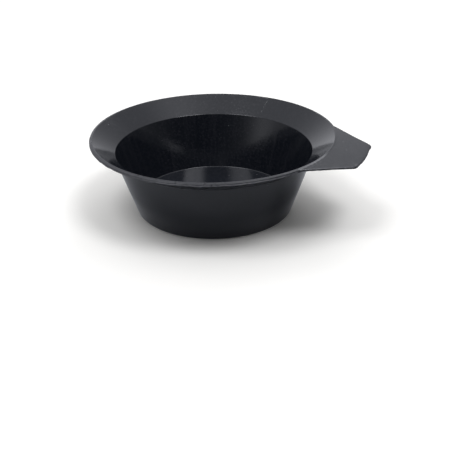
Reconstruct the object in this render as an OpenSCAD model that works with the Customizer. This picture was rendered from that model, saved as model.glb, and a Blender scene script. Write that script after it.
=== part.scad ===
// Hair tint bowl: a tapered plastic bowl with a wide flared rim, a solid lip
// round its edge and a flat thumb tab, moulded in one shot.
// Frame: millimetres, +Z up. The origin is the centre of the ring that the bowl
// stands on. The tab points along +X.

/* [Body] */
// Height of the rim's crest above the table
bowl_h = 43; // [36:0.5:60]
// Diameter on the table, measured to where the wall's outer face would meet it
foot_d = 86.2; // [78:0.2:92]
// Lean of the wall away from the vertical, in degrees
wall_lean = 18.8; // [14:0.1:21]
// Thickness of the wall and of the flare, square to their faces
wall_t = 0.9; // [0.8:0.1:1.4]
// Thickness of the floor
floor_t = 1.4; // [1:0.1:2.5]
// Height of the hollow under the floor, inside the standing ring
recess_h = 2.8; // [1.5:0.1:5]
// Radius where the outer face of the wall turns under
foot_r = 1.6; // [0.8:0.1:2.2]
// Width of the flat ring that touches the table
stand_w = 1.2; // [1:0.1:2.5]
// Draft of the hollow's side, in degrees
recess_draft = 5; // [1:0.5:15]
// Radius between the hollow's side and its roof
recess_r = 0.8; // [0.3:0.1:1.2]
// Radius between the floor and the inner face of the wall
floor_r = 0.6; // [0.5:0.1:3]

/* [Rim] */
// Diameter over the lip
rim_d = 135; // [128:1:146]
// Slope of the flare, in degrees from the horizontal
flare_slope = 36.6; // [30:0.1:42]
// Radius of the crease between the wall and the flare, on the inner face
crease_r = 0.6; // [0.4:0.1:3]
// Width of the lip, from its crest out to its edge
lip_w = 1.7; // [1.4:0.1:3]
// Depth of the lip, from its crest to its lower edge
lip_h = 1.6; // [1.5:0.1:3]
// Fall of the lip's top outside the crest, in degrees
lip_fall = 20; // [12:1:30]
// Radius of the crest
crest_r = 0.5; // [0.3:0.1:0.7]
// Radius on the upper outer edge of the lip
lip_edge_r = 0.6; // [0.3:0.1:0.7]
// Radius on the lower outer edge of the lip, at the mould's parting line
parting_r = 0.15; // [0.1:0.05:0.3]

/* [Tab] */
// Distance from the bowl's axis to the end of the tab
tab_reach = 85; // [80:0.5:95]
// Width of the tab where it leaves the lip
tab_root_w = 62; // [52:1:70]
// Width of the tab at its end
tab_end_w = 28; // [20:1:40]
// Thickness of the tab
tab_t = 1.1; // [0.8:0.1:1.2]
// Depth of the tab's top below the crest, which leaves the crest as a fine ridge
tab_step = 0.2; // [0.1:0.05:0.3]
// Fall of the tab towards its end, in degrees
tab_fall = 4.2; // [1:0.1:7]
// Radius on the two corners of the tab
tab_corner_r = 1.2; // [0.8:0.1:4]

/* [Gate mark] */
// Diameter of the flat stub that the mould's gate leaves under the floor
gate_d = 5; // [3:0.5:10]
// Height of that stub
gate_h = 0.6; // [0.3:0.1:1]

/* [Hidden] */
$fn = 180;
// Straight steps in a rounded corner, and along the end of the tab
corner_steps = 6;
end_steps = 12;

rim_rad = rim_d / 2;
crest_rad = rim_rad - lip_w;
foot_rad = foot_d / 2;
floor_z = recess_h + floor_t;
lip_z = bowl_h - lip_h;

// Directions up the wall, up the flare and down the lip, as [radius, height]
wall_dir = [sin(wall_lean), cos(wall_lean)];
flare_dir = [cos(flare_slope), sin(flare_slope)];
lip_dir = [cos(lip_fall), -sin(lip_fall)];
level_dir = [1, 0];
plumb_dir = [0, 1];
draft_dir = [-sin(recess_draft), cos(recess_draft)];

// A quarter turn to the left of a direction
function left_of(dir) = [-dir.y, dir.x];
function unit(v) = v / norm(v);

// Where the line through p along u meets the line through q along v
function meet(p, u, q, v) =
    p + u * (((q - p) * left_of(v)) / (u * left_of(v)));

// The wall's two faces, and the flare's: a point on each line
wall_out = [foot_rad, 0];
wall_in = wall_out + left_of(wall_dir) * wall_t;
crest_centre = [crest_rad, bowl_h - crest_r];
flare_top = crest_centre + left_of(flare_dir) * crest_r;
flare_under = flare_top - left_of(flare_dir) * wall_t;
lip_top = crest_centre + left_of(lip_dir) * crest_r;

// The flat ring ends where the rounded foot begins
foot_corner = 90 + wall_lean;
stand_out = foot_rad - foot_r / tan(foot_corner / 2);
stand_in = [stand_out - stand_w, 0];
recess_edge = meet(stand_in, draft_dir, [0, recess_h], level_dir);

// Points of an arc of radius r that rounds the corner at p between a and b
function corner(a, p, b, r) =
    let (
        u = unit(a - p),
        v = unit(b - p),
        half = acos(u * v) / 2,
        centre = p + unit(u + v) * r / sin(half),
        mid = unit(p - centre),
        mid_angle = atan2(mid.y, mid.x),
        side = sign(left_of(u) * v),
        sweep = 90 - half
    )
    [for (i = [0:corner_steps])
        let (t = mid_angle + side * sweep * (1 - 2 * i / corner_steps))
        centre + r * [cos(t), sin(t)]];

// An outline of [point, radius] pairs with its corners rounded
function rounded(pairs) =
    let (n = len(pairs))
    [for (i = [0:n - 1])
        let (
            a = pairs[(i + n - 1) % n][0],
            p = pairs[i][0],
            b = pairs[(i + 1) % n][0],
            r = pairs[i][1]
        )
        each (r == 0 ? [p] : corner(a, p, b, r))];

// Half section of the bowl, from the middle of the hollow out, up and back in
bowl_section = rounded([
    [[0, recess_h], 0],
    [recess_edge, recess_r],
    [stand_in, parting_r],
    [wall_out, foot_r],
    [meet(wall_out, wall_dir, flare_under, flare_dir), crease_r + wall_t],
    [meet(flare_under, flare_dir, [0, lip_z], level_dir), 0],
    [[rim_rad, lip_z], parting_r],
    [meet(lip_top, lip_dir, [rim_rad, 0], plumb_dir), lip_edge_r],
    [meet(flare_top, flare_dir, lip_top, lip_dir), crest_r],
    [meet(wall_in, wall_dir, flare_top, flare_dir), crease_r],
    [meet(wall_in, wall_dir, [0, floor_z], level_dir), floor_r],
    [[0, floor_z], 0]
]);

// Tab: its section falls outwards from just below the crest
tab_top_z = bowl_h - tab_step;
tab_out = rim_d;
tab_section = [
    [crest_rad, tab_top_z],
    [crest_rad, tab_top_z - tab_t],
    [tab_out, tab_top_z - tab_t - (tab_out - crest_rad) * tan(tab_fall)],
    [tab_out, tab_top_z - (tab_out - crest_rad) * tan(tab_fall)]
];

// Its outline: two straight sides, and an end that is round about the bowl's axis
function on_circle(r, half_w) = [sqrt(r * r - half_w * half_w), half_w];
tab_root = on_circle(rim_rad, tab_root_w / 2);
tab_corner = on_circle(tab_reach, tab_end_w / 2);
tab_side_dir = unit(tab_root - tab_corner);
tab_inner = tab_root + tab_side_dir * (2 * lip_w + tab_t);
end_angle = asin(tab_end_w / 2 / tab_reach);
function flip(p) = [p.x, -p.y];
tab_outline = rounded([
    [flip(tab_inner), 0],
    [flip(tab_corner), tab_corner_r],
    for (i = [1:end_steps - 1])
        let (t = end_angle * (2 * i / end_steps - 1))
        [tab_reach * [cos(t), sin(t)], 0],
    [tab_corner, tab_corner_r],
    [tab_inner, 0]
]);

module tab() {
    intersection() {
        rotate_extrude() polygon(tab_section);
        linear_extrude(bowl_h) polygon(tab_outline);
    }
}

module gate_mark() {
    translate([0, 0, recess_h - gate_h])
        cylinder(h = gate_h + floor_t / 2, d = gate_d);
}

module bowl() {
    color([0.16, 0.16, 0.17])
    union() {
        rotate_extrude() polygon(bowl_section);
        tab();
        gate_mark();
    }
}

bowl();
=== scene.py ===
# %% [markdown]
# # A hair tint bowl, dressed for its photograph
#
# The CAD model gives the bowl's sizes and says where it stands. This script
# gives it the look of the real moulding: a finer mesh with soft edges, the
# small faults that a mould leaves, a satin black plastic, and a white studio.
# Everything is in metres, in the CAD model's own frame: +Z is up, the origin is
# the middle of the ring that the bowl stands on, and the thumb tab points to +X.

# %% Load the frame
import math

import bmesh
import bpy
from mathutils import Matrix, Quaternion, Vector, noise
from mathutils.bvhtree import BVHTree


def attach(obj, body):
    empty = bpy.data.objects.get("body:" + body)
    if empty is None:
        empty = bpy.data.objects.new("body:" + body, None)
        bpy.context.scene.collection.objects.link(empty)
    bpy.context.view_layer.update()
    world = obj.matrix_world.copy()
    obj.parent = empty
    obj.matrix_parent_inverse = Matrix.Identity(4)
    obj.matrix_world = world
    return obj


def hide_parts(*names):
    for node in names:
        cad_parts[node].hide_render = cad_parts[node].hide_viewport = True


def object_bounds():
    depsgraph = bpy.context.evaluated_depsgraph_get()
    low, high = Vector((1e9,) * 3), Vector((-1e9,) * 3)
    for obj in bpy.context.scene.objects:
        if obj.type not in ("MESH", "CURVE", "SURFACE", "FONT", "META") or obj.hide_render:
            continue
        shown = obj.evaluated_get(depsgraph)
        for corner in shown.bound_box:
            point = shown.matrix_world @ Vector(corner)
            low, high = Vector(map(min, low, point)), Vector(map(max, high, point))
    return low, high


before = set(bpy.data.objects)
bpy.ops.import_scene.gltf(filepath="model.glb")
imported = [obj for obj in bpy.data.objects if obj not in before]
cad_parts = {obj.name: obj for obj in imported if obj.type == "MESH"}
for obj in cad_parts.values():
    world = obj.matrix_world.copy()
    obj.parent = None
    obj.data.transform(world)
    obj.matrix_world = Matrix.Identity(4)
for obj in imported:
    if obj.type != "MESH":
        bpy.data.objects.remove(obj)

MM = 0.001
UP = Vector((0, 0, 1))
# Corners closer together than this are one corner
WELD = 0.001 * MM
cad_low, cad_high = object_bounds()
print("CAD box in mm:", [round(v / MM, 2) for v in (*cad_low, *cad_high)])

# %% [markdown]
# ## Where things are in the photograph
#
# A few places in the picture settle the camera, and later show how well the
# finished mesh agrees with it. They are measured in the photograph's own frame,
# x to the right and y down. They are the only pixel numbers in this script.

# %% Image points
W, H = 450, 450
IMAGE_POINTS = {
    "object_left": (88.9, 143.0),
    "object_right": (372.7, 147.0),
    "object_top": (221.5, 93.9),
    "object_bottom": (214.5, 239.3),
    "crease_left": (115.4, 152.5),
    "crease_right": (313.0, 150.5),
    "crease_back": (217.5, 113.8),
    "floor_back": (216.5, 166.1),
    "lip_crest_front": (206.5, 182.9),
    "lip_edge_front": (200.0, 187.1),
    "tab_root_far": (334.9, 126.6),
    "tab_corner_near": (356.0, 168.8),
    "painted_highlight_back": (262.0, 98.9),
    "scratch_back": (267.0, 101.5),
    "scratch_front": (262.0, 111.0),
    "speck_left": (108.5, 124.5),
}
print(len(IMAGE_POINTS), "image points")

# %% [markdown]
# ## The camera
#
# The photograph was taken from in front of the bowl, with the tab to the right,
# looking down by about 27 degrees. The rim, the crease, the foot and the tab are
# circles and lines of known size, so their outlines fix where the camera stood,
# where it looked and how long its lens was.

# %% Make the camera
CAMERA_PLACE = Vector((171.7, -415.2, 215.7)) * MM
CAMERA_AIM = Vector((14.96, -22.53, 0)) * MM
CAMERA_ROLL = math.radians(-0.81)
LENS, SENSOR = 70.41, 36.0
NEAREST = 10 * MM

camera_data = bpy.data.cameras.new("camera")
camera_data.sensor_fit = "AUTO"
camera_data.sensor_width = SENSOR
camera_data.lens = LENS
camera_data.clip_start = NEAREST
camera = bpy.data.objects.new("camera", camera_data)
bpy.context.scene.collection.objects.link(camera)
camera.rotation_mode = "QUATERNION"
camera.location = CAMERA_PLACE
aim_turn = (CAMERA_AIM - CAMERA_PLACE).to_track_quat("-Z", "Y")
camera.rotation_quaternion = aim_turn @ Quaternion(UP, CAMERA_ROLL)
bpy.context.scene.camera = camera
bpy.context.view_layer.update()
print("camera", [round(v, 4) for v in camera.location], "lens", LENS)

# %% Go from the picture to the model and back
# Distance in pixels at which a picture of this size fills the camera's view
PICTURE_AWAY = max(W, H) * LENS / SENSOR


def pixel_ray(x, y):
    """Direction in space of the ray through one place of the picture."""
    ray = Vector((x - W / 2, H / 2 - y, -PICTURE_AWAY))
    return (camera.matrix_world.to_3x3() @ ray).normalized()


def shown_at(point):
    """Place in the picture at which a point of the model shows."""
    p = camera.matrix_world.inverted() @ Vector(point)
    scale = PICTURE_AWAY / -p.z
    return p.x * scale + W / 2, H / 2 - p.y * scale


print("the frame's origin shows at", [round(v, 1) for v in shown_at((0, 0, 0))])

# %% [markdown]
# ## Sizes of the moulding
#
# The height, the rim and the tab's reach come from the CAD box. The rest repeats
# the CAD model's own named sizes, because this script reads no other file. The
# lip and the tab's end reach a hair less far than the CAD ones, which leaves
# room for the burr of a worn mould inside the same box.

# %% Sizes of the bowl, as radius, height or angle
BURR = 0.16 * MM
BOWL_H = cad_high.z
RIM_R = -cad_low.x - BURR
FOOT_R = 43.1 * MM
WALL_LEAN = math.radians(18.8)
WALL_T = 0.9 * MM
FLOOR_T = 1.4 * MM
RECESS_H = 2.8 * MM
RECESS_DRAFT = math.radians(5)
STAND_W = 1.2 * MM
FLARE_SLOPE = math.radians(36.6)
LIP_W = 1.7 * MM - BURR
LIP_H = 1.6 * MM
LIP_FALL = math.radians(20)
# The bead along the lip's lower edge: how far out, and its two heights
BEAD_OUT, BEAD_LOW, BEAD_H = 0.28 * MM, 0.36 * MM, 0.62 * MM
BEAD_ROUND = 0.12 * MM
CREST_ROUND = 0.5 * MM
LIP_ROUND = 0.4 * MM
CREASE_ROUND = 0.6 * MM
FLOOR_ROUND = 0.6 * MM
FOOT_ROUND = 1.6 * MM
RECESS_ROUND = 0.8 * MM
PARTING_ROUND = 0.15 * MM
GATE_R, GATE_H = 2.5 * MM, 0.6 * MM
FLOOR_Z = RECESS_H + FLOOR_T
LIP_Z = BOWL_H - LIP_H
CREST_R = RIM_R - LIP_W
print("floor", round(FLOOR_Z / MM, 2), "mm up; crest", round(CREST_R / MM, 2), "mm out")

# %% [markdown]
# ## The bowl's section
#
# A bowl is a turned shape, so it starts as half a section: the corners of the
# profile, each on two straight lines with known slopes. Each corner then gets
# its own radius with a vertex bevel, as a mould maker rounds a profile before
# the steel is cut. The long stretches are divided, so that later moves of the
# vertices bend them smoothly.


# %% Helpers for straight lines in the section
def slope_line(angle):
    """Direction of a line that rises by this angle, as (radius, height)."""
    return Vector((math.cos(angle), math.sin(angle)))


def left_of(direction):
    """A quarter turn to the left of a direction in the section."""
    return Vector((-direction.y, direction.x))


def meet(p, u, q, v):
    """Where the line through p along u meets the line through q along v."""
    return p + u * ((q - p).dot(left_of(v)) / u.dot(left_of(v)))


LEVEL, PLUMB = Vector((1, 0)), Vector((0, 1))
wall_dir = slope_line(math.pi / 2 - WALL_LEAN)
flare_dir = slope_line(FLARE_SLOPE)
lip_dir = slope_line(-LIP_FALL)
draft_dir = slope_line(math.pi / 2 + RECESS_DRAFT)

wall_out = Vector((FOOT_R, 0))
wall_in = wall_out + left_of(wall_dir) * WALL_T
crest_centre = Vector((CREST_R, BOWL_H - CREST_ROUND))
flare_top = crest_centre + left_of(flare_dir) * CREST_ROUND
flare_under = flare_top - left_of(flare_dir) * WALL_T
lip_top = crest_centre + left_of(lip_dir) * CREST_ROUND
stand_out = FOOT_R - FOOT_ROUND / math.tan((math.pi / 2 + WALL_LEAN) / 2)
stand_in = Vector((stand_out - STAND_W, 0))
print("standing ring", round(stand_in.x / MM, 2), "to", round(stand_out / MM, 2), "mm")

# %% Corners of the section: name, place and radius, from the hollow under the floor
SECTION = [
    ("gate_middle", Vector((0, RECESS_H - GATE_H)), 0),
    ("gate_edge", Vector((GATE_R, RECESS_H - GATE_H)), PARTING_ROUND),
    ("gate_root", Vector((GATE_R, RECESS_H)), PARTING_ROUND),
    ("recess_edge", meet(stand_in, draft_dir, Vector((0, RECESS_H)), LEVEL), RECESS_ROUND),
    ("stand_in", stand_in, PARTING_ROUND),
    ("foot", wall_out, FOOT_ROUND),
    ("crease_under", meet(wall_out, wall_dir, flare_under, flare_dir), CREASE_ROUND + WALL_T),
    ("lip_under", meet(flare_under, flare_dir, Vector((0, LIP_Z)), LEVEL), PARTING_ROUND),
    ("lip_edge", Vector((RIM_R, LIP_Z)), PARTING_ROUND),
    ("bead_side", Vector((RIM_R, LIP_Z + BEAD_LOW)), BEAD_ROUND),
    ("bead_top", Vector((RIM_R - BEAD_OUT, LIP_Z + BEAD_H)), BEAD_ROUND),
    ("lip_shoulder", meet(lip_top, lip_dir, Vector((RIM_R - BEAD_OUT, 0)), PLUMB), LIP_ROUND),
    ("crest", meet(flare_top, flare_dir, lip_top, lip_dir), CREST_ROUND),
    ("crease", meet(wall_in, wall_dir, flare_top, flare_dir), CREASE_ROUND),
    ("floor_edge", meet(wall_in, wall_dir, Vector((0, FLOOR_Z)), LEVEL), FLOOR_ROUND),
    ("floor_middle", Vector((0, FLOOR_Z)), 0),
]
print("the section has", len(SECTION), "corners")

# %% Draw the section
# Steps of each rounded corner, and the longest piece of a straight stretch
ROUND_STEPS = 5
STRETCH = 4.0 * MM


def round_corner(bm, vert, radius):
    """Replace one corner of a wire by an arc of this radius."""
    a, b = [(e.other_vert(vert).co - vert.co).normalized() for e in vert.link_edges]
    run = radius / math.tan(a.angle(b) / 2)
    bmesh.ops.bevel(
        bm, geom=[vert], offset=run, offset_type="OFFSET", segments=ROUND_STEPS,
        profile=0.5, affect="VERTICES", material=-1,
    )


def make_section():
    """A bmesh that holds the rounded half section as a wire in the XZ plane."""
    bm = bmesh.new()
    corners = [bm.verts.new((p.x, 0, p.y)) for _, p, _ in SECTION]
    for a, b in zip(corners, corners[1:]):
        bm.edges.new((a, b))
    for vert, (_, _, radius) in zip(corners, SECTION):
        if radius:
            round_corner(bm, vert, radius)
    for edge in list(bm.edges):
        cuts = int(edge.calc_length() / STRETCH)
        if cuts:
            bmesh.ops.subdivide_edges(bm, edges=[edge], cuts=cuts)
    return bm


section = make_section()
print("section:", len(section.verts), "points,", len(section.edges), "edges")

# %% [markdown]
# ## Spin the section
#
# One full spin makes the shell. The steps are short enough for the burr of
# the lip, about six tenths of a millimetre at the rim.

# %% Spin
SPIN_STEPS = 720


def spun(bm, steps):
    """Spin a wire fully about the Z axis and close the seam and the poles."""
    bmesh.ops.spin(
        bm, geom=bm.verts[:] + bm.edges[:], cent=(0, 0, 0), axis=(0, 0, 1),
        dvec=(0, 0, 0), angle=2 * math.pi, steps=steps, use_merge=True, use_duplicate=False,
    )
    bmesh.ops.remove_doubles(bm, verts=bm.verts, dist=WELD)
    bmesh.ops.recalc_face_normals(bm, faces=bm.faces)


spun(section, SPIN_STEPS)
print("shell:", len(section.verts), "vertices,", len(section.faces), "faces")

# %% [markdown]
# ## The thumb tab
#
# The tab is a thin plate whose top lies just under the crest. Its outline has
# two straight sides between a circle inside the lip and the round end. It gets
# its thickness by extrusion, its corners and edges are rounded, and then it is
# divided at every millimetre, so that it can fall outwards and bend. It is
# about a millimetre wider on each side than the CAD tab, as in the photograph.

# %% Sizes of the tab
TAB_REACH = cad_high.x - BURR
TAB_ROOT_HALF = 32.45 * MM
TAB_END_HALF = 15.4 * MM
TAB_T = 1.1 * MM
TAB_STEP = 0.2 * MM
TAB_FALL = math.tan(math.radians(4.2))
TAB_EDGE_ROUND = 0.3 * MM
TAB_CORNER_NEAR, TAB_CORNER_FAR = 1.5 * MM, 0.8 * MM
TAB_INNER = CREST_R + 0.25 * MM
TAB_ROOT_X = 59.8 * MM
END_STEPS, ROOT_STEPS = 12, 24
CORNER_STEPS, EDGE_STEPS = 6, 3
# Edges that turn by more than this are the plate's own, and get rounded
EDGE_TURN = math.radians(70)
# The millimetres at which the plate is divided, along the X axis and across it
DIVIDE_X, DIVIDE_Y = range(58, 86), range(-31, 32)
DIVIDE_SLACK = 0.02 * MM


def on_circle(radius, half_width):
    """Point of a circle at this distance to the left of the X axis."""
    return Vector((math.sqrt(radius ** 2 - half_width ** 2), half_width, 0))


def tab_height(radius):
    """Height of the tab's top at this distance from the bowl's axis."""
    return BOWL_H - TAB_STEP - (radius - CREST_R) * TAB_FALL


# %% Model the tab
def side_turn(radius):
    """Angle from the X axis at which the tab's straight side cuts this circle."""
    root, end = on_circle(RIM_R, TAB_ROOT_HALF), on_circle(TAB_REACH, TAB_END_HALF)
    along = (end - root).normalized()
    nearest = root - along * root.dot(along)
    point = nearest + along * math.sqrt(radius ** 2 - nearest.length_squared)
    return math.atan2(point.y, point.x)


def arc(radius, steps):
    """Points of a circle between the tab's two sides, from right to left."""
    turns = [side_turn(radius) * (2 * i / steps - 1) for i in range(steps + 1)]
    return [(radius * math.cos(turn), radius * math.sin(turn), 0) for turn in turns]


def make_tab():
    """A bmesh that holds the tab as a closed flat plate, its top at height 0."""
    bm = bmesh.new()
    outline = arc(TAB_REACH, END_STEPS) + arc(TAB_INNER, ROOT_STEPS)[::-1]
    top = bm.faces.new([bm.verts.new(point) for point in outline])
    made = bmesh.ops.extrude_face_region(bm, geom=[top])
    low = [v for v in made["geom"] if isinstance(v, bmesh.types.BMVert)]
    bmesh.ops.translate(bm, verts=low, vec=(0, 0, -TAB_T))
    bmesh.ops.recalc_face_normals(bm, faces=bm.faces)
    return bm


tab = make_tab()
print("tab:", len(tab.verts), "vertices,", len(tab.faces), "faces")


# %% Round the tab's corners and edges
def corner_edge(bm, side):
    """The upright edge at one corner of the tab's end."""
    end = on_circle(TAB_REACH, TAB_END_HALF)
    place = Vector((end.x, side * end.y))
    upright = [e for e in bm.edges if abs((e.verts[0].co - e.verts[1].co).z) > TAB_T / 2]
    return min(upright, key=lambda e: (e.verts[0].co.xy - place).length)


def rim_edges(bm):
    """Edges round the plate's top and underside."""
    found = [e for e in bm.edges if len(e.link_faces) == 2]
    return [e for e in found if e.calc_face_angle() > EDGE_TURN]


for side, radius in ((-1, TAB_CORNER_NEAR), (1, TAB_CORNER_FAR)):
    bmesh.ops.bevel(
        tab, geom=[corner_edge(tab, side)], offset=radius, offset_type="OFFSET",
        segments=CORNER_STEPS, profile=0.5, affect="EDGES", material=-1,
    )
bmesh.ops.bevel(
    tab, geom=rim_edges(tab), offset=TAB_EDGE_ROUND, offset_type="OFFSET",
    segments=EDGE_STEPS, profile=0.5, affect="EDGES", material=-1,
)
print("rounded tab:", len(tab.verts), "vertices")

# %% Divide the tab and let it fall outwards
for normal, places in ((Vector((1, 0, 0)), DIVIDE_X), (Vector((0, 1, 0)), DIVIDE_Y)):
    for place in places:
        bmesh.ops.bisect_plane(
            tab, geom=tab.verts[:] + tab.edges[:] + tab.faces[:], dist=DIVIDE_SLACK,
            plane_co=normal * place * MM, plane_no=normal,
        )
for vert in tab.verts:
    vert.co.z += tab_height(vert.co.xy.length)
print("divided tab:", len(tab.verts), "vertices")


# %% Join the tab to the bowl
def as_object(name, bm):
    """Turn a bmesh into an object of the scene, and free the bmesh."""
    mesh = bpy.data.meshes.new(name)
    bm.to_mesh(mesh)
    bm.free()
    made = bpy.data.objects.new(name, mesh)
    bpy.context.scene.collection.objects.link(made)
    return made


def apply_modifiers(piece):
    """Make what the modifiers give the piece's own mesh."""
    depsgraph = bpy.context.evaluated_depsgraph_get()
    made = bpy.data.meshes.new_from_object(piece.evaluated_get(depsgraph))
    piece.modifiers.clear()
    piece.data = made


def weld(piece):
    """Merge the corners that a union leaves almost on top of each other."""
    bm = bmesh.new()
    bm.from_mesh(piece.data)
    count = len(bm.verts)
    bmesh.ops.remove_doubles(bm, verts=bm.verts, dist=WELD)
    bmesh.ops.dissolve_degenerate(bm, edges=bm.edges, dist=WELD)
    print(count - len(bm.verts), "corners merged")
    bm.to_mesh(piece.data)
    bm.free()


bowl = as_object("tint_bowl", section)
plate = as_object("tab_plate", tab)
union = bowl.modifiers.new("join_tab", "BOOLEAN")
union.operation = "UNION"
union.solver = "EXACT"
union.object = plate
apply_modifiers(bowl)
weld(bowl)
bpy.data.objects.remove(plate)
print("joined:", len(bowl.data.vertices), "vertices,", len(bowl.data.polygons), "faces")

# %% [markdown]
# ## Finish the mesh
#
# The real moulding isn't perfect. It warped a little as it cooled: the rim sags
# by a fraction of a millimetre on one side, and the tab has turned a little
# about its root. The lip also carries the flash of a worn mould, a broken bead
# along its lower edge, and the tab's end is uneven where it was trimmed. Small
# moves of the vertices along smooth curves and noise give all this, and never
# leave the CAD box. At the end the normals are weighed by the faces' areas, so
# that a small rounding doesn't shade the wide face beside it.

# %% Warp of the rim and the tab
# The rim sags towards one side, by less and less to the left and right of it
SAG, SAG_TURN, SAG_SPREAD = 0.5 * MM, math.radians(-112), math.radians(75)
SAG_FROM = 0.8 * RIM_R
# The tab leans aside by this share of its length, and sets off just outside the rim
TAB_LEAN, LEAN_RUN = 0.052, 3 * MM
# A spur at its far corner, a drooping end and a raised near side
SPUR, SPUR_RUN = 0.85 * MM, 5.0 * MM
END_FALL, END_RUN = 0.25 * MM, 3.0 * MM
SIDE_RISE, SIDE_RUN = 0.12 * MM, 2.5 * MM


def ramp(value, low, high):
    """0 below low, 1 above high, smooth from one to the other."""
    t = max(0.0, min(1.0, (value - low) / (high - low)))
    return t * t * (3 - 2 * t)


def warp(co):
    """Where a point of the true shape lies on the warped moulding."""
    radius = co.xy.length
    turn = math.atan2(co.y, co.x)
    off = math.remainder(turn - SAG_TURN, 2 * math.pi)
    sag = ramp(1 - abs(off) / SAG_SPREAD, 0, 1) * ramp(radius, SAG_FROM, RIM_R)
    moved = co - UP * SAG * sag
    if co.x > 0 and radius > RIM_R:
        on_tab = ramp(radius, RIM_R, RIM_R + LEAN_RUN)
        moved.y -= TAB_LEAN * (co.x - TAB_ROOT_X) * on_tab
        spur = ramp(co.y, TAB_END_HALF - SPUR_RUN, TAB_END_HALF)
        spur *= ramp(radius, TAB_REACH - 2 * SPUR_RUN, TAB_REACH)
        moved.xy += co.xy.normalized() * SPUR * spur
        moved.z -= END_FALL * max(0.0, 1 - (TAB_REACH - radius) / END_RUN) ** 2
        inside = (turn + side_turn(radius)) * radius
        moved.z += SIDE_RISE * on_tab * max(0.0, 1 - inside / SIDE_RUN) ** 2
    return moved


for vert in bowl.data.vertices:
    vert.co = warp(vert.co)
print("the rim sags by up to", round(SAG / MM, 2), "mm")

# %% Flash on the lip, the tab's end and its underside
# Each has short waves on longer swells, of these lengths and depths
BURR_WAVE, BURR_SWELL, BURR_PATCH = 1.1 * MM, 5.0 * MM, 14 * MM
CHIP_WAVE, CHIP_SWELL, CHIP_DEPTH = 2.1 * MM, 6 * MM, 0.22 * MM
END_WAVE, END_SWELL, END_BAND = 0.9 * MM, 3.0 * MM, 1.5 * MM
UNDER_WAVE, UNDER_DEPTH, UNDER_FROM = 1.6 * MM, 0.12 * MM, 0.6 * TAB_T
# Over what distance the flash fades, inwards from the lip's edge and upwards
FLASH_IN, FLASH_FULL, FLASH_UP = 0.5 * MM, 0.2 * MM, 0.3 * MM
RIM_SLACK = 0.01 * MM


def waves(*place):
    """Smooth noise between about -1 and 1. The last two numbers pick a stretch of it."""
    return noise.noise(Vector(place))


def clamp(value):
    """The value itself, but no less than -1 and no more than 1."""
    return max(-1.0, min(1.0, value))


def lip_flash(height, radius, out, along):
    """How far the burr and the chips move one spot of the lip."""
    low = 1 - ramp(height, LIP_Z + FLASH_UP, LIP_Z + BEAD_H + FLASH_UP)
    lip = ramp(radius, RIM_R - FLASH_IN, RIM_R - FLASH_FULL)
    patch = ramp(waves(along / BURR_PATCH, 2.2, 4), -0.35, 0.3)
    burr = 1.4 * waves(along / BURR_WAVE, 3.1, 0) + 1.1 * waves(along / BURR_SWELL, 7.7, 0)
    chip = waves(along / CHIP_WAVE, 9.4, 2) + 0.5 * waves(along / CHIP_SWELL, 5.2, 8)
    move = out * BURR * clamp(burr) * patch
    move -= UP * CHIP_DEPTH * clamp(1.5 * chip) * (0.35 + 0.65 * patch)
    return move * lip * low


def end_flash(radius, out, along):
    """How far the uneven trimming moves one spot of the tab's end."""
    near_end = ramp(radius, TAB_REACH - END_BAND, TAB_REACH)
    uneven = waves(along / END_SWELL, 1.3, 5) + 0.6 * waves(along / END_WAVE, 4.4, 1)
    return out * max(-3 * BURR, min(BURR, BURR * (1.4 * uneven - 1.2))) * near_end


def roughen(mesh):
    """Move the lip, the tab's end and its underside by a fraction of a millimetre."""
    for vert in mesh.vertices:
        co = vert.co.copy()
        radius = co.xy.length
        turn = math.atan2(co.y, co.x)
        out = Vector((math.cos(turn), math.sin(turn), 0))
        along = turn * RIM_R
        if RIM_R - FLASH_IN < radius < RIM_R + RIM_SLACK:
            vert.co += lip_flash(co.z, radius, out, along)
        elif radius > TAB_REACH - END_BAND:
            vert.co += end_flash(radius, out, along)
        elif radius > RIM_R + FLASH_IN and co.z < tab_height(radius) - UNDER_FROM:
            vert.co.z -= UNDER_DEPTH * waves(co.x / UNDER_WAVE, co.y / UNDER_WAVE, 6.1)


roughen(bowl.data)
print("the lip's burr reaches out by", round(BURR / MM, 2), "mm")

# %% Shade the mesh smooth between its sharp edges
SHARP = math.radians(35)

for polygon in bowl.data.polygons:
    polygon.use_smooth = True
bowl.data.set_sharp_from_angle(angle=SHARP)
steady = bowl.modifiers.new("weigh_normals", "WEIGHTED_NORMAL")
steady.mode = "FACE_AREA"
steady.keep_sharp = True
apply_modifiers(bowl)
print("mesh box in mm:", [round(v / MM, 2) for v in bowl.dimensions])

# %% [markdown]
# ## The plastic
#
# Tint bowls are moulded in black polypropylene with a satin polish. Shader maths
# is written as Python here: a small class wraps a socket, so that a sum of two
# values adds a Math node to the material.


# %% Shader maths
class Value:
    """One output socket of a material, with Python's operators."""

    def __init__(self, graph, socket):
        self.graph = graph
        self.socket = socket

    def maths(self, operation, *others):
        return self.graph.node("ShaderNodeMath", {"operation": operation}, *others)

    def __add__(self, other):
        return self.maths("ADD", self, other)

    __radd__ = __add__

    def __sub__(self, other):
        return self.maths("SUBTRACT", self, other)

    def __rsub__(self, other):
        return self.maths("SUBTRACT", other, self)

    def __mul__(self, other):
        return self.maths("MULTIPLY", self, other)

    __rmul__ = __mul__

    def __truediv__(self, other):
        return self.maths("DIVIDE", self, other)

    def __pow__(self, other):
        return self.maths("POWER", self, other)

    def at_most(self, other):
        return self.maths("MINIMUM", self, other)

    def at_least(self, other):
        return self.maths("MAXIMUM", self, other)

    def between(self, low, high):
        """0 below low, 1 above high, smooth from one to the other."""
        settings = {"interpolation_type": "SMOOTHSTEP"}
        return self.graph.node("ShaderNodeMapRange", settings, self, low, high)


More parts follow.
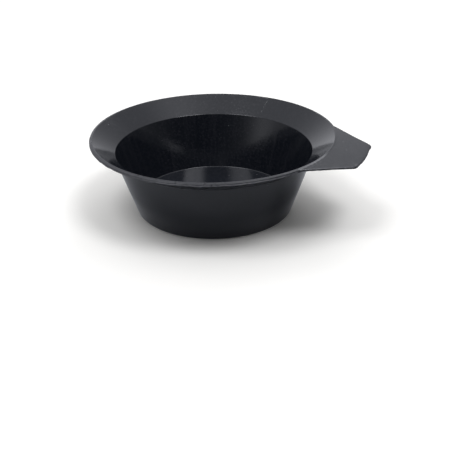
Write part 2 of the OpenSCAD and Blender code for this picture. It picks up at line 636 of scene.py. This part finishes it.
class Graph:
    """The node tree of one material or world."""

    def __init__(self, owner):
        owner.use_nodes = True
        self.tree = owner.node_tree
        self.tree.nodes.clear()

    def node(self, kind, settings=None, *sockets, out=0, **named):
        """Add a node: its settings first, then the values or links of its sockets."""
        made = self.tree.nodes.new(kind)
        for name, setting in (settings or {}).items():
            setattr(made, name, setting)
        by_name = [(name.replace("_", " "), value) for name, value in named.items()]
        for place, value in list(enumerate(sockets)) + by_name:
            if isinstance(value, Value):
                self.tree.links.new(value.socket, made.inputs[place])
            elif value is not None:
                made.inputs[place].default_value = value
        return Value(self, made.outputs[out]) if made.outputs else made

    def xyz(self, vector):
        """The three numbers of a vector."""
        return [self.node("ShaderNodeSeparateXYZ", None, vector, out=i) for i in range(3)]

    def noise(self, place, scale, detail=2.0):
        """Smooth noise from 0 to 1, with this many waves to the metre."""
        return self.node("ShaderNodeTexNoise", None, Vector=place, Scale=scale, Detail=detail)

    def cells(self, place, scale, out):
        """Scattered cells: how far the nearest centre is, or with out=1 its colour."""
        settings = {"feature": "F1"}
        return self.node("ShaderNodeTexVoronoi", settings, Vector=place, Scale=scale, out=out)

    def minus(self, place, start):
        """The vector from a start to this place."""
        return self.node("ShaderNodeVectorMath", {"operation": "SUBTRACT"}, place, start)

    def along(self, vector, direction):
        """How far a vector goes in a direction."""
        settings = {"operation": "DOT_PRODUCT"}
        return self.node("ShaderNodeVectorMath", settings, vector, tuple(direction), out=1)

    def away(self, place, spot):
        """Distance from a spot."""
        settings = {"operation": "DISTANCE"}
        return self.node("ShaderNodeVectorMath", settings, place, tuple(spot), out=1)

    def blend(self, colour, other, share):
        """The first colour with this share of the other."""
        settings = {"data_type": "RGBA"}
        return self.node("ShaderNodeMix", settings, share, out=2, A=colour, B=other)


print("shader helpers are ready")

# %% [markdown]
# ### Satin black polypropylene
#
# The colour is close to black with a trace of blue. What makes it read as
# plastic is in its gloss: the roughness drifts along the flow of the melt, and
# the surface has a very fine grain and long shallow waves that bend reflections.
# The lip is rubbed dull and pale, and a hair scratch, a speck and some dust lie on the bowl.
# Painted highlights lighten a spot of the back crest and a line along the tab's near top
# edge.

# %% Places of the painted crest highlight, the scratch and the speck
def place_on(tree, name):
    """The spot of the bowl that shows at an image point."""
    return tree.ray_cast(CAMERA_PLACE, pixel_ray(*IMAGE_POINTS[name]))[0]


bowl_tree = BVHTree.FromObject(bowl, bpy.context.evaluated_depsgraph_get())
painted_highlight_spot = place_on(bowl_tree, "painted_highlight_back")
scratch_spot = place_on(bowl_tree, "scratch_back")
scratch_end = place_on(bowl_tree, "scratch_front")
speck_spot = place_on(bowl_tree, "speck_left")
print("scratch", round((scratch_end - scratch_spot).length / MM, 1), "mm long")

# %% Marks on the plastic
# How many waves or cells each pattern has to the metre, in all directions
GRAIN, PORES, DRIFT, SWAY = 450.0, 1500.0, 45.0, 120.0
RUBBING, PATCHES, GRIT = 800.0, 500.0, 260.0
PAINTED_HIGHLIGHT_GRAIN, SCRATCH_WANDER, SCRATCH_GRAIN = 900.0, 160.0, 700.0
# The melt's patterns: their waves round the bowl, and up or outwards
FLOW_ROUND, FLOW_OUT = 9, 6
STREAK_ROUND, STREAK_UP = 18, 20
# The share of the grit's cells that hold a speck of dust
DUST_SHARE = 0.16


class Surface:
    """A material's graph, with the place on the bowl in its own coordinates."""

    def __init__(self, graph):
        self.graph = graph
        self.place = graph.node("ShaderNodeTexCoord", out=3)
        self.x, self.y, self.z = graph.xyz(self.place)
        self.radius = (self.x * self.x + self.y * self.y) ** 0.5
        self.patches = graph.noise(self.place, PATCHES, 3.0).between(0.30, 0.62)


def melt_flow(at):
    """Patterns along the way that the melt ran, which is outwards from the middle."""
    graph = at.graph
    reach = at.radius.at_least(MM)
    turn_x, turn_y = at.x / reach, at.y / reach
    flow_place = graph.node(
        "ShaderNodeCombineXYZ", None,
        turn_x * FLOW_ROUND, turn_y * FLOW_ROUND, (at.radius + at.z) * FLOW_OUT,
    )
    streak_place = graph.node(
        "ShaderNodeCombineXYZ", None,
        turn_x * STREAK_ROUND, turn_y * STREAK_ROUND, at.z * STREAK_UP,
    )
    wall = at.radius - at.z * math.tan(WALL_LEAN)
    inside = 1 - wall.between(FOOT_R - 0.7 * MM, FOOT_R - 0.3 * MM)
    on_floor = inside * (1 - at.z.between(FLOOR_Z + 0.2 * MM, FLOOR_Z + 0.8 * MM))
    streaks = graph.noise(streak_place, 1.0).between(0.50, 0.70) * inside * (1 - on_floor)
    return graph.noise(flow_place, 1.0, 4.0), streaks, on_floor


def lip_wear(at):
    """How dull and how pale the lip is rubbed, from its crest to its lower edge."""
    on_lip = at.radius.between(CREST_R - 0.5 * MM, CREST_R + 0.1 * MM)
    on_lip = on_lip * (1 - at.radius.between(RIM_R + 0.1 * MM, RIM_R + 0.3 * MM))
    on_lip = on_lip * (1 - at.x.between(TAB_ROOT_X - 2.5 * MM, TAB_ROOT_X - 0.5 * MM))
    low_lip = 1 - at.z.between(LIP_Z + BEAD_H, LIP_Z + BEAD_H + 0.5 * MM)
    dull = on_lip * (at.patches * 0.5 + 0.5)
    return dull, dull * (low_lip * 0.75 + 0.25)


def painted_side_highlight(at):
    """How strongly a painted highlight lightens the tab's near top edge."""
    root, end = on_circle(RIM_R, TAB_ROOT_HALF), on_circle(TAB_REACH, TAB_END_HALF)
    root, end = (warp(Vector((p.x, -p.y, tab_height(p.length)))) for p in (root, end))
    outward = (end - root).cross(UP).normalized()
    from_side = at.graph.along(at.graph.minus(at.place, tuple(root)), outward)
    below_top = at.z - (BOWL_H - TAB_STEP) + (at.radius - CREST_R) * TAB_FALL
    # Painted highlight: a pale line just inside the tab's near side, under its top edge
    line = from_side.between(-0.7 * MM, -0.3 * MM) * below_top.between(-0.45 * MM, -0.3 * MM)
    return line * at.radius.between(RIM_R, RIM_R + 2 * MM) * (at.patches * 0.5 + 0.5)


def scratch_line(at):
    """A hair scratch that wanders a little from one image point to the other."""
    length = (scratch_end - scratch_spot).length
    along = (scratch_end - scratch_spot).normalized()
    across = along.cross(UP).normalized()
    from_start = at.graph.minus(at.place, tuple(scratch_spot))
    run = at.graph.along(from_start, along)
    wander = (at.graph.noise(at.place, SCRATCH_WANDER) - 0.5) * (1.6 * MM)
    off = (at.graph.along(from_start, across) + wander) / MM
    line = 1 - (off ** 2.0).between(0.0, 0.12)
    ends = run.between(-1.5 * MM, 0.0) * (1 - run.between(length, length + 1.5 * MM))
    return line * ends * at.graph.noise(at.place, SCRATCH_GRAIN).between(0.35, 0.6)


def pale_marks(at):
    """How much the dust, the speck, the scratch and a painted highlight on the back crest
    whiten each spot.
    """
    graph = at.graph
    near_painted_highlight = 1 - graph.away(at.place, painted_highlight_spot).between(3 * MM, 5.5 * MM)
    on_crest = at.z.between(BOWL_H - 0.5 * MM, BOWL_H - 0.3 * MM)
    # Painted highlight: pale bits along the top of the back crest, where a glint shows
    painted_crest_highlight = near_painted_highlight * on_crest * graph.noise(at.place, PAINTED_HIGHLIGHT_GRAIN).between(0.42, 0.55)
    speck = 1 - graph.away(at.place, speck_spot).between(0.2 * MM, 0.5 * MM)
    grit = 1 - graph.cells(at.place, GRIT, 0).between(0.03, 0.09)
    lot = graph.node("ShaderNodeSeparateColor", None, graph.cells(at.place, GRIT, 1))
    dust = grit * (1 - lot.between(DUST_SHARE, DUST_SHARE + 0.04))
    marks = dust * 0.5 + speck * 0.4 + scratch_line(at) * 0.3 + painted_crest_highlight * 0.35
    return marks.at_most(1.0)


# Two marks in this list are painted highlights: the line on the tab's near top edge and the
# pale bits on the back crest
print("marks: flow, worn lip, painted side highlight, nick, scratch, speck and dust")

# %% Material of the bowl
PLASTIC_BLACK = (0.0060, 0.0075, 0.0108, 1)
PLASTIC_RUBBED = (0.014, 0.015, 0.019, 1)
# Pale colour of the lip's real wear, also used for the painted highlight on the tab's near
# top edge
PLASTIC_WORN_AND_HIGHLIGHT = (0.060, 0.061, 0.066, 1)
# Pale colour of the dust, the speck and the scratch, also used for the painted highlight on
# the back crest
DUST_AND_HIGHLIGHT = (0.28, 0.28, 0.28, 1)
ROUGHNESS, WORN_ROUGHNESS, FLOOR_DULL = 0.13, 0.46, 0.07
PLASTIC_IOR = 1.49
BUMP_HEIGHT = 0.004 * MM


def make_plastic():
    """The satin black plastic, patterned in the bowl's own coordinates."""
    material = bpy.data.materials.new("satin_black_plastic")
    graph = Graph(material)
    at = Surface(graph)
    flow, streaks, on_floor = melt_flow(at)
    dull, worn = lip_wear(at)
    rubbed = graph.noise(at.place, RUBBING, 4.0).between(0.42, 0.75)

    colour = graph.blend(PLASTIC_BLACK, PLASTIC_RUBBED, rubbed)
    colour = graph.blend(colour, PLASTIC_RUBBED, streaks * 0.5)
    # The lip's real wear and a painted highlight along the tab's near top edge both blend in
    # the pale worn colour
    colour = graph.blend(colour, PLASTIC_WORN_AND_HIGHLIGHT, (worn + painted_side_highlight(at)).at_most(1.0))
    colour = graph.blend(colour, DUST_AND_HIGHLIGHT, pale_marks(at))

    # Heights in steps of the bump's own distance
    height = graph.noise(at.place, GRAIN, 3.0) * 3.0 + graph.noise(at.place, PORES) * 0.5
    height = height + graph.noise(at.place, SWAY, 1.0) * 3.0 + flow * 6.0 + rubbed * 0.3
    bump = graph.node(
        "ShaderNodeBump", None, Strength=1.0, Distance=BUMP_HEIGHT, Height=height,
    )

    roughness = ROUGHNESS + (graph.noise(at.place, DRIFT) - 0.5) * 0.06
    roughness = roughness + (flow - 0.5) * 0.10 + (rubbed - 0.4) * 0.08
    roughness = roughness + streaks * 0.07 + on_floor * FLOOR_DULL
    roughness = roughness + dull * (WORN_ROUGHNESS - ROUGHNESS)
    shader = graph.node(
        "ShaderNodeBsdfPrincipled", None, Base_Color=colour, Roughness=roughness,
        Normal=bump, IOR=PLASTIC_IOR,
    )
    graph.node("ShaderNodeOutputMaterial", None, Surface=shader)
    return material


plastic = make_plastic()
bowl.data.materials.clear()
bowl.data.materials.append(plastic)
print("plastic has", len(plastic.node_tree.nodes), "nodes")

# %% Hand the bowl to the frame
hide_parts("bowl")
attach(bowl, "root")
print("the bowl rides on the body root")

# %% [markdown]
# ## The studio
#
# The bowl stands on a white sweep. Black plastic shows little but what it
# reflects, so the light decides how it looks. Three round soft boxes hang high
# up, and the room glows dimly: most behind and above the bowl, least around the
# camera, with two windows low on the left and a bright patch of ceiling.
# Together they light a level surface at a plain strength, so colours render
# about as they are written.

# %% Floor
FLOOR_HALF = 3.0
# The camera sees the floor white. What the bowl mirrors, and what lights its lower wall from
# below, is a ring of painted light close to its foot, then a grey sheet, and beyond the
# sheet's edge a floor that is nearly black.
FLOOR_SEEN = (1.0, 0.985, 0.92, 1)
# Painted light: the floor round the foot is paler, seen only by mirrored and bounced rays
FLOOR_PAINTED_LIGHT = (0.90, 0.91, 0.92, 1)
FLOOR_PLAIN = (0.51, 0.52, 0.53, 1)
FLOOR_FAR = (0.05, 0.05, 0.05, 1)
# Middles of the ring of painted light and of the sheet, and over what distances from them
# each ends
PAINTED_LIGHT_MIDDLE, PAINTED_LIGHT_EDGE = (0, 0, 0), (0.046, 0.056)
SHEET_MIDDLE, SHEET_EDGE = (0, -0.12, 0), (0.22, 0.31)


def make_floor():
    """A white floor that shows the bowl's shadow."""
    bm = bmesh.new()
    bmesh.ops.create_grid(bm, x_segments=2, y_segments=2, size=FLOOR_HALF)
    floor = as_object("studio_floor", bm)
    material = bpy.data.materials.new("white_sweep")
    graph = Graph(material)
    place = graph.node("ShaderNodeTexCoord", out=3)
    painted_light_edge = graph.away(place, PAINTED_LIGHT_MIDDLE).between(*PAINTED_LIGHT_EDGE)
    sheet_edge = graph.away(place, SHEET_MIDDLE).between(*SHEET_EDGE)
    # The painted light round the foot fades into the grey sheet
    mirrored = graph.blend(FLOOR_PAINTED_LIGHT, FLOOR_PLAIN, painted_light_edge)
    mirrored = graph.blend(mirrored, FLOOR_FAR, sheet_edge)
    colour = graph.blend(mirrored, FLOOR_SEEN, graph.node("ShaderNodeLightPath"))
    matt = graph.node("ShaderNodeBsdfDiffuse", None, Color=colour)
    graph.node("ShaderNodeOutputMaterial", None, Surface=matt)
    floor.data.materials.append(material)


make_floor()
print("floor", 2 * FLOOR_HALF, "m wide")

# %% World
LIGHT_LEVEL = 0.94
LIGHT_TINT = (0.975, 0.985, 1.045, 1)
WHITE = (1, 1, 1, 1)
# The glow at the horizon, how it grows along each axis, and how near the top
GLOW = 0.295
GLOW_X, GLOW_Y, GLOW_UP, GLOW_TOP = -0.209, 0.259, 0.103, 0.66
# Strength, direction and narrowness of the two windows and the bright ceiling
WINDOWS = (
    (0.45, (-0.66, 0.74, 0.12), 10.0),
    (0.75, (-0.64, -0.76, 0.10), 24.0),
    (0.60, (0.35, 0.11, 0.93), 26.0),
)


def make_world():
    """A dim glow that grows behind and above the bowl, and plain white behind."""
    world = bpy.data.worlds.new("studio")
    bpy.context.scene.world = world
    graph = Graph(world)
    x, y, z = graph.xyz(graph.node("ShaderNodeTexCoord"))
    glow = GLOW + x * GLOW_X + y * GLOW_Y + z * GLOW_UP + z * z * z * GLOW_TOP
    glow = glow.at_least(0.0)
    for strength, (to_x, to_y, to_z), narrow in WINDOWS:
        facing = x * to_x + y * to_y + z * to_z
        glow = glow + facing.at_least(0.0) ** narrow * strength
    soft = graph.node(
        "ShaderNodeBackground", None, Color=LIGHT_TINT, Strength=glow * LIGHT_LEVEL,
    )
    white = graph.node("ShaderNodeBackground", None, Color=WHITE, Strength=1.0)
    camera_ray = graph.node("ShaderNodeLightPath")
    surface = graph.node("ShaderNodeMixShader", None, camera_ray, soft, white)
    graph.node("ShaderNodeOutputWorld", None, Surface=surface)


make_world()
print("world with", len(WINDOWS), "bright patches")

# %% Lamps
LAMP_AWAY = 3.0


def make_lamp(name, toward, half_width, brightness):
    """A round soft box in this direction, as wide as this angle, facing the bowl."""
    radius = LAMP_AWAY * math.tan(math.radians(half_width))
    data = bpy.data.lights.new(name, "AREA")
    data.shape = "DISK"
    data.size = 2 * radius
    data.color = LIGHT_TINT[:3]
    data.energy = brightness * LIGHT_LEVEL * (math.pi * radius) ** 2
    lamp = bpy.data.objects.new(name, data)
    bpy.context.scene.collection.objects.link(lamp)
    lamp.rotation_mode = "QUATERNION"
    lamp.location = Vector(toward).normalized() * LAMP_AWAY
    lamp.rotation_quaternion = lamp.location.to_track_quat("Z", "Y")
    lamp.visible_camera = False


# Direction, half width in degrees and brightness of each soft box
LAMPS = {
    "lamp_right": ((0.385, -0.15, 0.90), 10.5, 9.3),
    "lamp_back": ((-0.04, 0.72, 0.70), 14.0, 1.77),
    "lamp_left": ((-0.26, -0.33, 0.91), 12.0, 5.9),
}
for name, (toward, half_width, brightness) in LAMPS.items():
    make_lamp(name, toward, half_width, brightness)
print(len(LAMPS), "soft boxes")

# %% Colour management
bpy.context.scene.view_settings.view_transform = "Standard"

# %% Offsets from the image points
RING_SLACK = 0.35 * MM


def ring_places(mesh, radius, height):
    """Where the vertices near one circle of the bowl show in the picture."""
    return [
        shown_at(v.co) for v in mesh.vertices
        if abs(v.co.xy.length - radius) < RING_SLACK and abs(v.co.z - height) < RING_SLACK
    ]


def measure_points():
    """How far each thing shows from its image point, in x and y."""
    mesh = bowl.data
    everywhere = [shown_at(v.co) for v in mesh.vertices]
    corners = {name: p for name, p, _ in SECTION}
    crease = ring_places(mesh, corners["crease"].x, corners["crease"].y)
    floor_edge = ring_places(mesh, corners["floor_edge"].x - FLOOR_ROUND, FLOOR_Z)
    crest = ring_places(mesh, CREST_R, BOWL_H)
    edge = ring_places(mesh, RIM_R, LIP_Z)
    root = on_circle(RIM_R, TAB_ROOT_HALF)
    root.z = tab_height(RIM_R)
    end = on_circle(TAB_REACH, -TAB_END_HALF)
    end.z = tab_height(TAB_REACH) - TAB_T
    found = {
        "object_left": min(everywhere),
        "object_right": max(everywhere),
        "object_top": min(everywhere, key=lambda p: p[1]),
        "object_bottom": max(everywhere, key=lambda p: p[1]),
        "crease_left": min(crease),
        "crease_right": max(crease),
        "crease_back": min(crease, key=lambda p: p[1]),
        "floor_back": min(floor_edge, key=lambda p: p[1]),
        "lip_crest_front": max(crest, key=lambda p: p[1]),
        "lip_edge_front": max(edge, key=lambda p: p[1]),
        "tab_root_far": shown_at(warp(root)),
        "tab_corner_near": shown_at(warp(end)),
        "painted_highlight_back": shown_at(painted_highlight_spot),
        "scratch_back": shown_at(scratch_spot),
        "scratch_front": shown_at(scratch_end),
        "speck_left": shown_at(speck_spot),
    }
    return {
        name: [round(found[name][i] - point[i], 2) for i in (0, 1)]
        for name, point in IMAGE_POINTS.items()
    }


offsets = measure_points()
for name, offset in offsets.items():
    print(f"{name:18s} {offset[0]:+.2f} {offset[1]:+.2f}")
